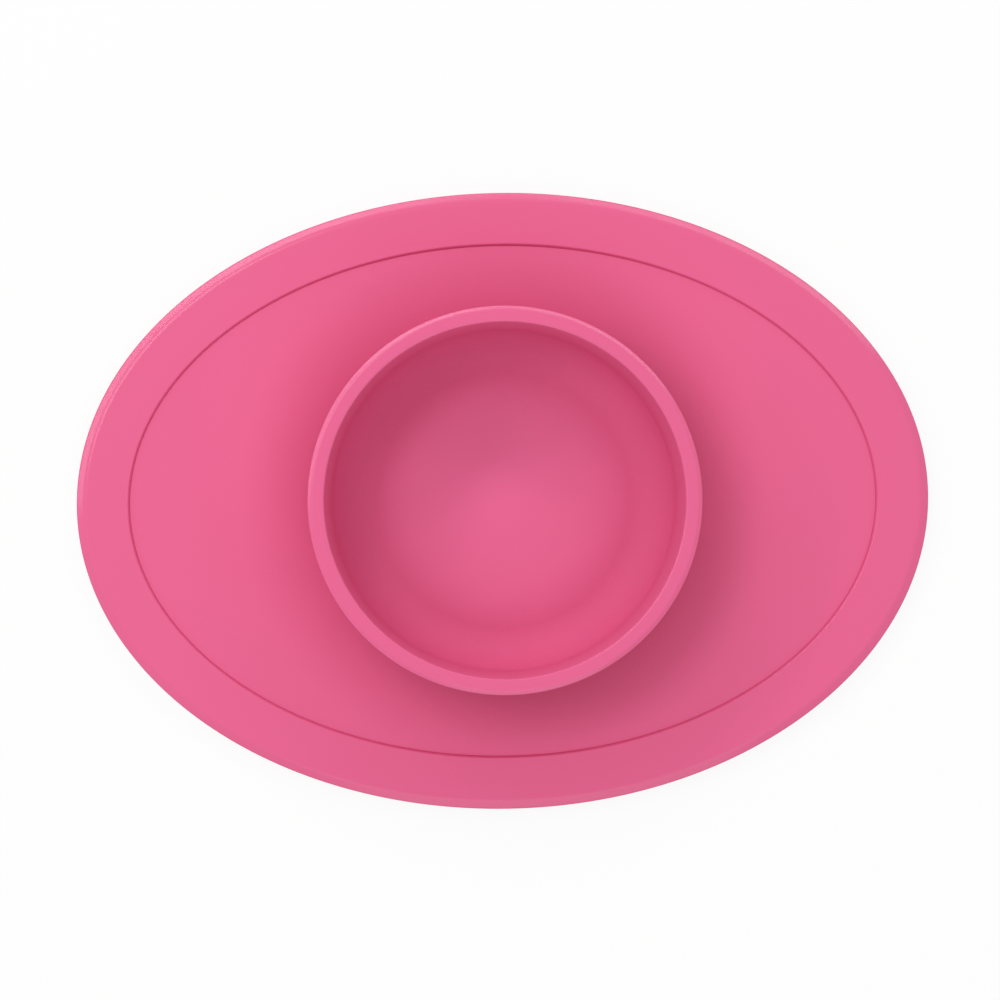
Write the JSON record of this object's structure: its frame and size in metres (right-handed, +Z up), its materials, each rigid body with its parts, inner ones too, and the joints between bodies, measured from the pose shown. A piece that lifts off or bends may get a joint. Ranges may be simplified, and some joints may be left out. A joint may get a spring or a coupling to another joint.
{
  "type": "suction bowl",
  "caption": "Small round feeding bowl moulded in the middle of an oval silicone placemat, whose outer border seals on the table when the bowl is pressed down.",
  "frame": {"origin": "middle of the mat's underside, on the table and on the bowl's axis", "axes": "+X along the mat's long axis, +Y across the mat, +Z up out of the bowl"},
  "size_m": [0.206, 0.149, 0.032],
  "materials": {
    "silicone": "matte"
  },
  "bodies": {
    "border": {"sealing_border": "silicone"},
    "bowl_and_field": {"placemat": "silicone", "bowl": "silicone"}
  },
  "joints": [
    {"name": "suction_press", "type": "slide", "parent": "border", "child": "bowl_and_field", "axis": [0, 0, -1], "range_m": [0, 0.001], "stiffness_N_per_m": 8000, "springref_m": -0.0002}
  ]
}
